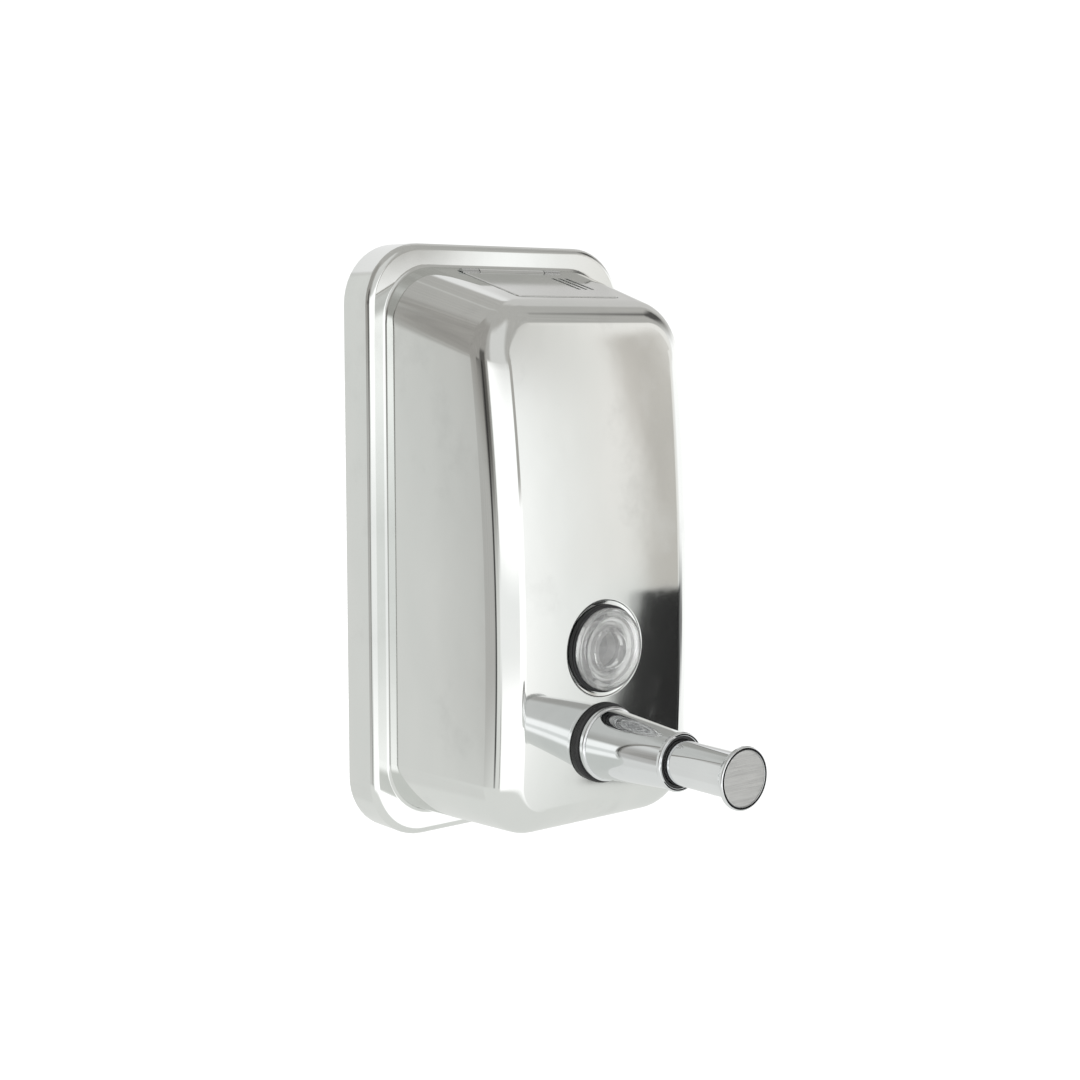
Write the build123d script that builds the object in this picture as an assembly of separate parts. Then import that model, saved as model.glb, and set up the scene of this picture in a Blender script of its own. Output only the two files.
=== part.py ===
from build123d import *
from math import cos, radians, sin, sqrt, tan
import os

# Wall mounted soap dispenser: drawn stainless tank, filler lid on top, sight window and push pump in front.
# Millimetres, +Z up. The origin is the centre of the screw pattern on the wall face.
# The wall lies at Y = 0 and the dispenser stands out towards -Y; "depth" below means -Y.

os.makedirs("parts", exist_ok=True)

# ---- sheet-metal tank
width = 112.0                # overall, across the rim
height = 205.0               # overall
sheet = 1.0                  # wall thickness of the drawn shell
rim_depth = 15.0             # depth of the stepped rim that stands against the wall
rim_corner = 21.0            # corner radius of the rim, seen from the front
rim_edge = 2.5               # rounding of the rim's front edge
rim_step_side = 6.4          # step from the rim in to the body, at the sides
rim_step_top = 8.0           # the same at the top
rim_step_bottom = 8.5        # the same at the bottom
step_fillet = 1.2            # hollow fillet where the body meets the rim
front_depth = 70.7           # depth of the front face at its fullest point
front_full_height = -33.5    # height of that fullest point
front_radius = 740.0         # gentle arc of the front, seen from the side
body_corner = 14.0           # rounding of the four long body edges
front_edge = 8.0             # rounding round the front face
side_draft = 7.1             # degrees that each side leans in towards the front
top_slope = 15.5             # degrees that the top falls towards the front

# ---- closing plate and wall fixing
back_plate_depth = 6.0       # depth of the welded plate that closes the tank
back_plate_thick = 1.0
plate_thick = 1.5            # wall plate
plate_width = 80.0
plate_margin = 22.5          # top of the wall plate below the top of the rim
plate_corner = 8.0
screw_spacing_x = 60.0
screw_edge = 10.0            # upper screw holes below the top of the plate
screw_hole_radius = 2.6
hook_spacing = 36.0          # between the two hook tongues
hook_width = 12.0
hook_thick = 1.2
hook_drop = 36.0             # hanger bracket's seat below the top of the plate
hook_rise = 7.0
hook_play = 0.6              # air on each side of a tongue
bracket_width = 62.0
lock_screw_radius = 1.5
lock_head_radius = 2.6
lock_head_height = 1.6
lock_depth = 3.4             # depth of the locking screw's axis

# ---- filler lid
hinge_setback = 5.2          # hinge axis in front of the rim's front plane
hinge_sink = 0.4             # hinge axis below the top face, square to it
knuckle_radius = 1.5
pin_radius = 0.75
pin_play = 0.06              # radial play of the pin in the lid's knuckle
knuckle_share = 28.4         # length of the lid's own knuckle
knuckle_gap = 0.3
lid_width = 44.0
lid_front_margin = 9.87      # from the lid's front edge to where the top face would meet the front
lid_thick = 1.2
lid_proud = 0.3              # lid's top face above the sheet
lid_gap = 0.45               # slit round the lid
lid_corner = 1.5
frame_rim = 4.0              # width of the filler frame outside the opening
frame_thick = 2.4
ledge_drop = 1.0             # ledge below the sheet's underside
ledge_width = 1.8
lid_seal_play = 0.1
lid_swing_room = 0.4

# ---- key slots and bolt of the lid lock
slot_count = 3
slot_pitch = 3.0
slot_width = 1.4
slot_inset = 6.7             # middle slot in from the lid's right edge
slot_start = 8.2             # from the hinge axis, along the slope
slot_front_margin = 9.4      # from the slots' front end to the lid's front edge
bolt_width = 8.2
bolt_thick = 1.25
bolt_travel = 4.0
bolt_play = 0.1
guide_rail_inner = 1.5
guide_rail_outer = 0.6
guide_floor = 0.75
bolt_nose_length = 5.2
key_hole_length = 4.0

# ---- sight window
window_above_pump = 32.1
gasket_radius_window = 14.8
gasket_bore_window = 13.6    # the gasket is a ring round the lens's plug
gasket_thick = 2.0
plug_play = 0.1              # radial play of the plug in the gasket
lens_rim_radius = 13.9
lens_rim_thick = 1.2
dome_radius = 13.0           # foot of the dome
dome_rise = 6.8
dome_wall = 1.6
neck_radius = 7.8
neck_bore = 6.0
neck_length = 13.0           # behind the lens rim
hole_play = 0.3              # radial play of a neck in the sheet
window_nut_radius = 11.5
nut_thick = 4.0
window_land_radius = 16.2    # shallow flat pressed round the window
window_land_sink = 0.35

# ---- push pump, all on one axis square to the wall
pump_above_bottom = 29.0     # pump axis above the underside of the body
gasket_radius_pump = 13.6
collar_radius = 12.7
collar_thick = 2.4
sleeve_root_radius = 11.9
sleeve_lip = 0.7             # of the sleeve's end outside the wiper
bead_step = 0.5
bead_length = 1.6
sleeve_length = 38.0         # from the front face to the sleeve's end
tail_wall = 2.53
tail_length = 12.0           # sleeve's threaded tail behind the front face
rod_radius = 7.4
rod_play = 0.07              # radial play of the rod in the sleeve
rod_bore = 3.0
wiper_width = 1.13
wiper_length = 2.4
cap_front = 66.4             # front of the push cap, from the front face
cap_radius = 10.2
cap_thick = 4.2
cap_flare = 3.0
disc_radius = 8.9
disc_thick = 1.0
travel = 16.0                # stroke of the pump
pump_nut_radius = 14.0
pump_nut_thick = 5.0
washer_thick = 1.4
barrel_wall = 2.0            # of the barrel round the sleeve's tail
barrel_ledge = 1.53          # barrel bore beyond the rod's, radially
barrel_wall_rear = 3.0
barrel_overlap = 3.5         # of the barrel over the sleeve's tail
stop_washer_thick = 0.6
piston_length = 7.5
piston_play = 0.25
piston_wall = 2.0
spigot_step = 2.4            # spigot smaller than the rod, radially
seal_play = 0.05
seal_width = 2.2
seal_groove = 1.6
spring_play = 1.45           # air outside the return spring
spring_wire = 0.45
spring_turns = 7
spring_packed = 11.0         # length left for the spring at full stroke
valve_hole = 1.8
discharge_ball_radius = 2.7
discharge_spring_radius = 2.1
discharge_spring_wire = 0.28
discharge_spring_turns = 5
discharge_keeper_gap = 14.0  # from the piston's seat to the spring keeper
keeper_length = 2.0
keeper_bore = 1.5
nozzle_radius = 2.3
nozzle_bore = 1.3
nozzle_setback = 7.0         # outlet hole behind the cap
nozzle_sink = 0.15
bore_run_on = 0.7            # the rod's bore runs on past the outlet hole

# ---- inlet valve under the barrel
inlet_offset = 7.5           # inlet axis in front of the barrel's rear end
boss_radius = 5.0
chamber_radius = 2.9
chamber_roof = 0.8           # chamber top below the barrel wall
inlet_ball_radius = 2.4
inlet_seat_thick = 2.4
inlet_seat_hole = 1.7
strainer_radius = 6.3
strainer_play = 1.8          # above the tank floor
strainer_grip = 3.0
strainer_length = 8.0
strainer_bore = 3.5
strainer_slots = 4
strainer_slot_width = 1.6
strainer_slot_height = 3.0
ball_rest_gap = 0.03


# ---- worked-out places
half_width = width / 2
half_height = height / 2
body_half = half_width - rim_step_side
body_top = half_height - rim_step_top
body_bottom = -half_height + rim_step_bottom
slope = radians(top_slope)
draft = radians(side_draft)
hinge_depth = rim_depth + hinge_setback
top_front_depth = front_depth
for _ in range(40):
    top_front_rise = body_top - (top_front_depth - rim_depth) * tan(slope) - front_full_height
    top_front_depth = front_depth - front_radius + sqrt(front_radius**2 - top_front_rise**2)
lid_length = (top_front_depth - hinge_depth) / cos(slope) - lid_front_margin
slot_length = lid_length - slot_start - slot_front_margin
plate_top = half_height - plate_margin
screw_height = plate_top - screw_edge
hook_height = plate_top - hook_drop
slot_centre = lid_width / 2 - slot_inset
pump_height = body_bottom + pump_above_bottom
window_height = pump_height + window_above_pump
bore = rod_radius + rod_play
tail_radius = bore + tail_wall
wiper_radius = bore + wiper_width
sleeve_end_radius = wiper_radius + sleeve_lip
bead_radius = sleeve_end_radius + bead_step
barrel_radius = tail_radius + barrel_wall
barrel_bore = bore + barrel_ledge
piston_radius = barrel_bore - piston_play
seal_radius = barrel_bore - seal_play
spigot_radius = rod_radius - spigot_step
spring_radius = barrel_bore - spring_play - spring_wire


def front_at(z):
    """Depth of the front face at height z."""
    rise = z - front_full_height
    return front_depth - front_radius + sqrt(front_radius**2 - rise**2)


def save(node, solid):
    """Write one node as parts/NODE.step."""
    solid.label = node
    export_step(solid, os.path.join("parts", node + ".step"))


def box_between(x0, x1, y0, y1, z0, z1):
    """Box between two opposite corners."""
    centre = ((x0 + x1) / 2, (y0 + y1) / 2, (z0 + z1) / 2)
    return Pos(*centre) * Box(abs(x1 - x0), abs(y1 - y0), abs(z1 - z0))


def along_pump(d0, d1, radius, z, x=0.0):
    """Cylinder square to the wall, from depth d0 to depth d1."""
    plane = Plane(origin=(x, -d0, z), x_dir=(1, 0, 0), z_dir=(0, -1, 0))
    return extrude(plane * Circle(radius), amount=d1 - d0)


def upright(x, depth, z0, z1, radius):
    """Vertical cylinder from z0 up to z1."""
    return extrude(Plane((x, -depth, z0)) * Circle(radius), amount=z1 - z0)


def turned(points, z):
    """Solid of revolution about the axis square to the wall at height z; points are (depth, radius)."""
    plane = Plane(origin=(0, 0, z), x_dir=(0, -1, 0), z_dir=(-1, 0, 0))
    face = plane * make_face(Polyline(*points, close=True))
    return revolve(face, axis=Axis((0, 0, z), (0, -1, 0)), revolution_arc=360)


def coil(radius, wire, turns, d0, d1, z):
    """Round-wire spring between depths d0 and d1, its coils kept inside both."""
    start = d0 + wire
    length = d1 - d0 - 2 * wire
    path = Plane(origin=(0, -start, z), x_dir=(1, 0, 0), z_dir=(0, -1, 0)) * Helix(
        pitch=length / turns, height=length, radius=radius)
    section = Plane(origin=path @ 0, z_dir=path % 0) * Circle(wire)
    return sweep(section, path=path, is_frenet=True)


# ---- tank: one outline function gives the outer form and, set in by the sheet, the hollow
def rim_block(inset, depth_from, depth_to):
    """Rounded rectangle of the rim between two depths."""
    plane = Plane(origin=(0, -depth_from, 0), x_dir=(1, 0, 0), z_dir=(0, -1, 0))
    outline = RectangleRounded(width - 2 * inset, height - 2 * inset, rim_corner - inset)
    return extrude(plane * outline, amount=depth_to - depth_from)


def rim_form(inset):
    block = rim_block(inset, 0, rim_depth - inset)
    front = block.faces().sort_by(Axis.Y)[0]
    return fillet(front.edges(), rim_edge - inset)


def body_form(inset):
    """Body with its sloped top, arched front and drafted sides, set in by inset."""
    start = rim_depth - inset - rim_edge
    reach = front_depth + 20
    top_at = body_top - inset / cos(slope)
    # side view: flat bottom, sloped top, arched front
    radius = front_radius - inset
    z_low = body_bottom + inset
    z_start = top_at + (rim_depth - start) * tan(slope)

    def arc_depth(z):
        return front_depth - front_radius + sqrt(radius**2 - (z - front_full_height) ** 2)

    z_high = top_at
    for _ in range(40):
        z_high = top_at - (arc_depth(z_high) - rim_depth) * tan(slope)
    z_mid = (z_low + z_high) / 2
    foot = (0, -start, z_low)
    low = (0, -arc_depth(z_low), z_low)
    middle = (0, -arc_depth(z_mid), z_mid)
    high = (0, -arc_depth(z_high), z_high)
    back = (0, -start, z_start)
    side = make_face([
        Edge.make_line(foot, low),
        Edge.make_three_point_arc(low, middle, high),
        Edge.make_line(high, back),
        Edge.make_line(back, foot),
    ])
    prism = extrude(side, amount=width, dir=(1, 0, 0), both=True)
    # plan view: sides lean in
    base = body_half - inset / cos(draft)
    near = base + (rim_depth - start) * tan(draft)
    far = base - (reach - rim_depth) * tan(draft)
    plan = Plane.XY.offset(-height) * make_face(Polyline(
        (-near, -start), (near, -start), (far, -reach), (-far, -reach), close=True))
    form = prism & extrude(plan, amount=2 * height)
    long_edges = [e for e in form.edges() if abs(e.tangent_at(0.5).Y) > 0.8]
    form = fillet(long_edges, body_corner - inset)
    front = [e for e in form.edges() if min(v.Y for v in e.vertices()) < -front_at(body_top) + 4
             and max(v.Y for v in e.vertices()) < -rim_depth - 20]
    return fillet(front, front_edge - inset)


def tank_form(inset):
    """Rim and body together, with the hollow fillet between them."""
    form = rim_form(inset) + body_form(inset)
    at = -(rim_depth - inset)
    junction = [e for e in form.edges() if all(abs(v.Y - at) < 0.01 for v in e.vertices())
                and all(abs(v.X) < body_half + 2 and abs(v.Z) < body_top + 2 for v in e.vertices())]
    return fillet(junction, step_fillet + inset)


outer = tank_form(0.0)
hollow = tank_form(sheet)
window_face = front_at(window_height)
window_land = window_face - window_land_sink
pump_face = front_at(pump_height)

# ---- lid frame of reference: u across, v up the slope from the hinge axis, w out of the top face
hinge_top = body_top - (hinge_depth - rim_depth) * tan(slope)
lid_plane = Plane(origin=(0, -hinge_depth, hinge_top), x_dir=(1, 0, 0), z_dir=(0, -sin(slope), cos(slope)))
opening_half = lid_width / 2 + lid_gap
opening_rear = knuckle_radius + lid_gap
opening_front = -lid_length - lid_gap


def lid_box(u0, u1, v0, v1, w0, w1):
    """Box laid along the top face."""
    block = Pos((u0 + u1) / 2, (v0 + v1) / 2, (w0 + w1) / 2) * Box(abs(u1 - u0), abs(v1 - v0), abs(w1 - w0))
    return lid_plane * block


def lid_rod(u0, u1, radius):
    """Cylinder on the hinge axis."""
    plane = Plane(origin=(u0, 0, -hinge_sink), x_dir=(0, 1, 0), z_dir=(1, 0, 0))
    return lid_plane * extrude(plane * Circle(radius), amount=u1 - u0)


def rounded_slab(half, v0, v1, w0, w1, corner):
    """Slab laid along the top face with rounded corners."""
    outline = Pos(0, (v0 + v1) / 2, w0) * RectangleRounded(2 * half, v1 - v0, corner)
    return lid_plane * extrude(outline, amount=w1 - w0)


# ---- housing: the drawn shell with its openings
housing = outer - hollow
housing -= rounded_slab(opening_half, opening_front, opening_rear, -2 * sheet, 2 * sheet, lid_corner)
housing -= along_pump(window_land, window_face + 5, window_land_radius, window_height)
housing -= along_pump(window_face - 5, window_face + 5, neck_radius + hole_play, window_height)
housing -= along_pump(pump_face - 5, pump_face + 5, tail_radius + hole_play, pump_height)
housing -= upright(0, lock_depth, -half_height - 1, -half_height + 2 * sheet, lock_screw_radius + hole_play)
save("housing", housing)

# ---- tank back, welded inside the rim
tank_back = rim_block(sheet, back_plate_depth, back_plate_depth + back_plate_thick)
save("tank_back", tank_back)

# ---- wall plate with two hook tongues and a threaded tab for the locking screw
tab_top = -half_height + sheet + 2.0 + plate_thick
tab_reach = lock_depth + 2.2
plate_middle = (plate_top + tab_top - plate_thick) / 2
plate_height = plate_top - tab_top + plate_thick
face_plane = Plane(origin=(0, 0, plate_middle), x_dir=(1, 0, 0), z_dir=(0, -1, 0))
plate_outline = RectangleRounded(plate_width, plate_height, plate_corner)
wall_plate = extrude(face_plane * plate_outline, amount=plate_thick)
wall_plate += box_between(-9, 9, -plate_thick, -tab_reach, tab_top - plate_thick, tab_top)
wall_plate -= upright(0, lock_depth, tab_top - 2 * plate_thick, tab_top + 1, lock_screw_radius)
for x in (-screw_spacing_x / 2, screw_spacing_x / 2):
    for z in (-screw_height, screw_height):
        wall_plate -= along_pump(-1, plate_thick + 1, screw_hole_radius, z, x)
bracket_thick = hook_thick
bracket_rear = back_plate_depth - hook_play - hook_thick - hook_play - bracket_thick
for x in (-hook_spacing / 2, hook_spacing / 2):
    left = x - hook_width / 2
    right = x + hook_width / 2
    outer_face = back_plate_depth - hook_play
    wall_plate += box_between(left, right, -plate_thick, -outer_face, hook_height - hook_thick, hook_height)
    wall_plate += box_between(left, right, -outer_face + hook_thick, -outer_face,
                              hook_height - hook_thick, hook_height + hook_rise)
save("wall_plate", wall_plate)

# ---- hanger bracket: stepped strip welded to the tank back, it drops behind the two tongues
web_height = hook_height + hook_rise + 3
half = bracket_width / 2
hanger_bracket = box_between(-half, half, -bracket_rear, -bracket_rear - bracket_thick,
                             hook_height, web_height)
hanger_bracket += box_between(-half, half, -bracket_rear, -back_plate_depth,
                              web_height, web_height + bracket_thick)
hanger_bracket += box_between(-half, half, -back_plate_depth + bracket_thick, -back_plate_depth,
                              web_height, web_height + 9)
save("hanger_bracket", hanger_bracket)

# ---- locking screw, up through the rim into the wall plate's tab
screw_foot = -half_height - lock_head_height
locking_screw = upright(0, lock_depth, screw_foot, -half_height, lock_head_radius)
locking_screw = fillet(locking_screw.edges().group_by(Axis.Z)[0], 0.5)
locking_screw += upright(0, lock_depth, -half_height, tab_top + 0.6, lock_screw_radius)
hexagon = Plane((0, -lock_depth, screw_foot)) * RegularPolygon(1.0, 6)
locking_screw -= extrude(hexagon, amount=1.2)
save("locking_screw", locking_screw)

# ---- filler frame: ledge and drip rim under the opening, with the fixed hinge knuckles
ledge_half = opening_half - ledge_width
ledge_front = opening_front + ledge_width
ledge_rear = -knuckle_radius - ledge_width
frame_floor = -sheet - frame_thick
ledge_level = -sheet - ledge_drop
filler_frame = rounded_slab(opening_half + frame_rim, opening_front - frame_rim, opening_rear + frame_rim / 2,
                            frame_floor, -sheet, lid_corner + 2)
filler_frame -= rounded_slab(opening_half, opening_front, opening_rear, ledge_level, 0, lid_corner)
filler_frame -= rounded_slab(ledge_half, ledge_front, ledge_rear, frame_floor - 1, 0, lid_corner)
barrel_trough = lid_rod(-knuckle_share / 2 - knuckle_gap, knuckle_share / 2 + knuckle_gap,
                        knuckle_radius + lid_swing_room)
filler_frame -= barrel_trough
knuckle_end = lid_width / 2 - 0.3
for side in (-1, 1):
    inner_end = side * (knuckle_share / 2 + knuckle_gap)
    outer_end = side * knuckle_end
    low_end = min(inner_end, outer_end)
    high_end = max(inner_end, outer_end)
    filler_frame += lid_rod(low_end, high_end, knuckle_radius)
    filler_frame += lid_box(low_end, high_end, -knuckle_radius * 0.8, knuckle_radius * 0.8,
                            ledge_level - 0.5, -hinge_sink)
filler_frame -= lid_rod(-knuckle_end - 1, knuckle_end + 1, pin_radius)
save("filler_frame", filler_frame)

# ---- lid seal on the ledge
seal_bottom = ledge_level
seal_top = lid_proud - lid_thick - lid_seal_play
seal_outer = opening_half - 0.3
lid_seal = rounded_slab(seal_outer, opening_front + 0.3, ledge_rear + 1.0, seal_bottom, seal_top, lid_corner)
lid_seal -= rounded_slab(ledge_half + 0.1, ledge_front + 0.1, ledge_rear - 0.1,
                         seal_bottom - 1, seal_top + 1, lid_corner)
save("lid_seal", lid_seal)

# ---- lid with its knuckle and key slots
lid_low = lid_proud - lid_thick
lid_rear = -knuckle_radius - lid_swing_room
lid = rounded_slab(lid_width / 2, -lid_length, lid_rear, lid_low, lid_proud, lid_corner)
lid = fillet(lid.faces().sort_by(Axis(lid_plane.origin, lid_plane.z_dir))[-1].edges(), 0.35)
lid += lid_box(-knuckle_share / 2, knuckle_share / 2, -knuckle_radius - 2, 0, lid_low, lid_proud)
lid += lid_rod(-knuckle_share / 2, knuckle_share / 2, knuckle_radius)
lid -= lid_rod(-knuckle_share, knuckle_share, pin_radius + pin_play)
slot_places = [slot_centre + (i - (slot_count - 1) / 2) * slot_pitch for i in range(slot_count)]
for u in slot_places:
    slot = SlotOverall(slot_length, slot_width, rotation=90)
    slot = Pos(u, -slot_start - slot_length / 2, lid_low - 1) * slot
    lid -= lid_plane * extrude(slot, amount=lid_thick + 2)
save("lid", lid)

# ---- hinge pin, fixed in the frame's knuckles
save("hinge_pin", lid_rod(-knuckle_end, knuckle_end, pin_radius))

# ---- bolt guide welded under the lid, and the bolt that a key slides through the slots
bolt_left = slot_centre - bolt_width / 2
bolt_right = slot_centre + bolt_width / 2
bolt_top = lid_low - bolt_play
bolt_low = bolt_top - bolt_thick
guide_low = bolt_low - bolt_play - guide_floor
guide_rear = -slot_start - 0.8
guide_front = -slot_start - slot_length + 2.8
bolt_guide = lid_box(bolt_left - bolt_play - guide_rail_inner, bolt_right + bolt_play + guide_rail_outer,
                     guide_rear, guide_front, guide_low, lid_low)
bolt_guide -= lid_box(bolt_left - bolt_play, bolt_right + bolt_play, guide_rear + 1, guide_front - 1,
                      bolt_low - bolt_play, lid_low + 1)
save("bolt_guide", bolt_guide)

nose_top = frame_floor - 0.3
nose_low = nose_top - bolt_thick
drop_front = ledge_front + bolt_travel + 1.6
nose_tip = drop_front - bolt_nose_length
lid_bolt = lid_box(bolt_left, bolt_right, -slot_start + 1.5, drop_front, bolt_low, bolt_top)
lid_bolt += lid_box(bolt_left, bolt_right, drop_front + bolt_thick, drop_front, nose_low, bolt_top)
lid_bolt += lid_box(bolt_left, bolt_right, drop_front, nose_tip, nose_low, nose_top)
for u in slot_places:
    hole = Pos(u, -slot_start - 0.3 * slot_length, bolt_low - 1) * SlotOverall(
        key_hole_length, slot_width, rotation=90)
    lid_bolt -= lid_plane * extrude(hole, amount=bolt_thick + 2)
save("lid_bolt", lid_bolt)

# ---- sight window: ring gasket, clear dome with its plug and hollow neck, inner washer and nut
gasket_front_window = window_face + gasket_thick
window_gasket = along_pump(window_land, gasket_front_window, gasket_radius_window, window_height)
window_gasket = fillet(window_gasket.edges().group_by(Axis.Y)[0], 0.6)
window_gasket -= along_pump(window_land - 1, gasket_front_window + 1, gasket_bore_window, window_height)
save("window_gasket", window_gasket)

lens_back = gasket_front_window
lens_front = lens_back + lens_rim_thick
neck_back = lens_back - neck_length
sphere_radius = (dome_radius**2 + dome_rise**2) / (2 * dome_rise)
sphere_centre = Pos(0, -(lens_front + dome_rise - sphere_radius), window_height)
dome = sphere_centre * Sphere(sphere_radius)
dome &= along_pump(lens_front, lens_front + dome_rise + 1, dome_radius + 1, window_height)
inner_sphere = sphere_centre * Sphere(sphere_radius - dome_wall)
inner_sphere &= along_pump(lens_front, lens_front + dome_rise, dome_radius, window_height)
lens_disc = along_pump(lens_back, lens_front, lens_rim_radius, window_height)
lens_disc = fillet(lens_disc.edges().group_by(Axis.Y)[0], 0.5)
window_lens = lens_disc + dome - inner_sphere
window_lens += along_pump(window_land, lens_front, gasket_bore_window - plug_play, window_height)
window_lens += along_pump(neck_back, lens_front, neck_radius, window_height)
window_lens -= along_pump(neck_back - 1, lens_front + 0.2, neck_bore, window_height)
save("window_lens", window_lens)

window_inside = window_face - sheet
window_washer_radius = window_nut_radius + 1
window_washer_back = window_inside - washer_thick
window_washer = along_pump(window_washer_back, window_inside + 2, window_washer_radius, window_height)
window_washer &= hollow
window_washer -= along_pump(window_inside - 5, window_inside + 5, neck_radius, window_height)
save("window_washer", window_washer)

window_nut_front = window_inside - washer_thick
nut_plane = Plane(origin=(0, -window_nut_front, window_height), x_dir=(1, 0, 0), z_dir=(0, 1, 0))
window_nut = extrude(nut_plane * RegularPolygon(window_nut_radius, 8), amount=nut_thick)
window_nut -= along_pump(window_nut_front - nut_thick - 1, window_nut_front + 1, neck_radius, window_height)
save("window_nut", window_nut)

# ---- pump sleeve and what clamps it
gasket_front = pump_face + gasket_thick
pump_gasket = along_pump(pump_face - 4, gasket_front, gasket_radius_pump, pump_height)
pump_gasket = fillet(pump_gasket.edges().group_by(Axis.Y)[0], 0.6)
pump_gasket -= along_pump(pump_face - 5, gasket_front + 1, tail_radius, pump_height)
pump_gasket -= outer
save("pump_gasket", pump_gasket)

sleeve_end = pump_face + sleeve_length
collar_front = gasket_front + collar_thick
tail_end = pump_face - tail_length
pump_sleeve = turned([
    (tail_end, bore), (tail_end, tail_radius), (gasket_front, tail_radius), (gasket_front, collar_radius),
    (collar_front, collar_radius), (collar_front, sleeve_root_radius),
    (sleeve_end - bead_length, sleeve_end_radius), (sleeve_end - bead_length, bead_radius),
    (sleeve_end, bead_radius), (sleeve_end, wiper_radius), (sleeve_end - wiper_length, wiper_radius),
    (sleeve_end - wiper_length, bore),
], pump_height)


def ring_edges(solid, radius, depth, z):
    """Circular edges of the given radius and depth about the axis at height z."""
    return [e for e in solid.edges() if e.geom_type == GeomType.CIRCLE and abs(e.radius - radius) < 0.01
            and abs(e.arc_center.Y + depth) < 0.01 and abs(e.arc_center.Z - z) < 0.01]


pump_sleeve = fillet(ring_edges(pump_sleeve, collar_radius, collar_front, pump_height), 0.75)
pump_sleeve = fillet(ring_edges(pump_sleeve, bead_radius, sleeve_end, pump_height)
                     + ring_edges(pump_sleeve, bead_radius, sleeve_end - bead_length, pump_height), 0.45)
save("pump_sleeve", pump_sleeve)

sleeve_wiper = along_pump(sleeve_end - wiper_length, sleeve_end - 0.3, wiper_radius, pump_height)
sleeve_wiper -= along_pump(sleeve_end - wiper_length - 1, sleeve_end + 1, bore, pump_height)
save("sleeve_wiper", sleeve_wiper)

pump_inside = pump_face - sheet
pump_washer = along_pump(pump_inside - washer_thick, pump_inside + 2, pump_nut_radius, pump_height)
pump_washer &= hollow
pump_washer -= along_pump(pump_inside - 5, pump_inside + 5, tail_radius, pump_height)
save("pump_washer", pump_washer)

pump_nut_front = pump_inside - washer_thick
pump_nut_plane = Plane(origin=(0, -pump_nut_front, pump_height), x_dir=(1, 0, 0), z_dir=(0, 1, 0))
pump_nut = extrude(pump_nut_plane * RegularPolygon(pump_nut_radius, 6), amount=pump_nut_thick)
pump_nut -= along_pump(pump_nut_front - pump_nut_thick - 1, pump_nut_front + 1, tail_radius, pump_height)
save("pump_nut", pump_nut)

# ---- pump barrel on the sleeve's tail, with the inlet boss under its rear end
piston_front = tail_end - stop_washer_thick
piston_back = piston_front - piston_length
barrel_front = tail_end + barrel_overlap
barrel_floor = piston_back - travel - spring_packed
barrel_rear_depth = barrel_floor - barrel_wall_rear
inlet_depth = barrel_rear_depth + inlet_offset
strainer_foot = body_bottom + sheet + strainer_play
boss_top = pump_height - barrel_radius
boss_foot = strainer_foot + strainer_length - strainer_grip
chamber_top = boss_top - chamber_roof
pump_barrel = along_pump(barrel_rear_depth, barrel_front, barrel_radius, pump_height)
pump_barrel += upright(0, inlet_depth, boss_foot, pump_height, boss_radius)
pump_barrel -= along_pump(barrel_floor, tail_end + 0.001, barrel_bore, pump_height)
pump_barrel -= along_pump(tail_end, barrel_front + 1, tail_radius, pump_height)
pump_barrel -= upright(0, inlet_depth, boss_foot - 1, chamber_top, chamber_radius)
pump_barrel -= upright(0, inlet_depth, chamber_top - 1, pump_height, valve_hole)
save("pump_barrel", pump_barrel)

# ---- push rod with its cap, outlet hole and bore
cap_end = pump_face + cap_front
cap_back = cap_end - cap_thick
seat_depth = piston_back + piston_wall
bore_end = cap_back - nozzle_setback + nozzle_radius + bore_run_on
push_rod = turned([
    (seat_depth, 0), (seat_depth, spigot_radius), (piston_front, spigot_radius), (piston_front, rod_radius),
    (cap_back, rod_radius), (cap_back + cap_flare, cap_radius), (cap_end, cap_radius),
    (cap_end, disc_radius), (cap_end - disc_thick, disc_radius), (cap_end - disc_thick, 0),
], pump_height)
push_rod = fillet(ring_edges(push_rod, cap_radius, cap_end, pump_height), 0.5)
push_rod = fillet(ring_edges(push_rod, cap_radius, cap_back + cap_flare, pump_height)
                  + ring_edges(push_rod, rod_radius, cap_back, pump_height), 0.8)
push_rod -= along_pump(seat_depth - 1, bore_end, rod_bore, pump_height)
nozzle_depth = cap_back - nozzle_setback
nozzle_top = pump_height - rod_bore * 0.7
push_rod -= upright(0, nozzle_depth, pump_height - rod_radius - 1, nozzle_top, nozzle_radius)
save("push_rod", push_rod)

button_disc = along_pump(cap_end - disc_thick, cap_end - 0.15, disc_radius, pump_height)
save("button_disc", button_disc)

outlet_nozzle = upright(0, nozzle_depth, pump_height - rod_radius + nozzle_sink + 0.2,
                        nozzle_top, nozzle_radius)
outlet_nozzle -= upright(0, nozzle_depth, pump_height - rod_radius - 1, pump_height, nozzle_bore)
outlet_nozzle -= along_pump(seat_depth, bore_end, rod_bore, pump_height)
save("outlet_nozzle", outlet_nozzle)

# ---- piston, its seal and the stop washer
piston = along_pump(piston_back, piston_front, piston_radius, pump_height)
piston -= along_pump(seat_depth, piston_front + 1, spigot_radius, pump_height)
piston -= along_pump(piston_back - 1, seat_depth + 1, valve_hole, pump_height)
groove_front = piston_back + piston_length / 2 + seal_width / 2
groove_back = groove_front - seal_width
groove_floor = piston_radius - seal_groove
groove = along_pump(groove_back, groove_front, piston_radius + 1, pump_height)
groove -= along_pump(groove_back - 1, groove_front + 1, groove_floor, pump_height)
piston -= groove
save("piston", piston)

piston_seal = along_pump(groove_back, groove_front, seal_radius, pump_height)
piston_seal -= along_pump(groove_back - 1, groove_front + 1, groove_floor, pump_height)
save("piston_seal", piston_seal)

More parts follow.
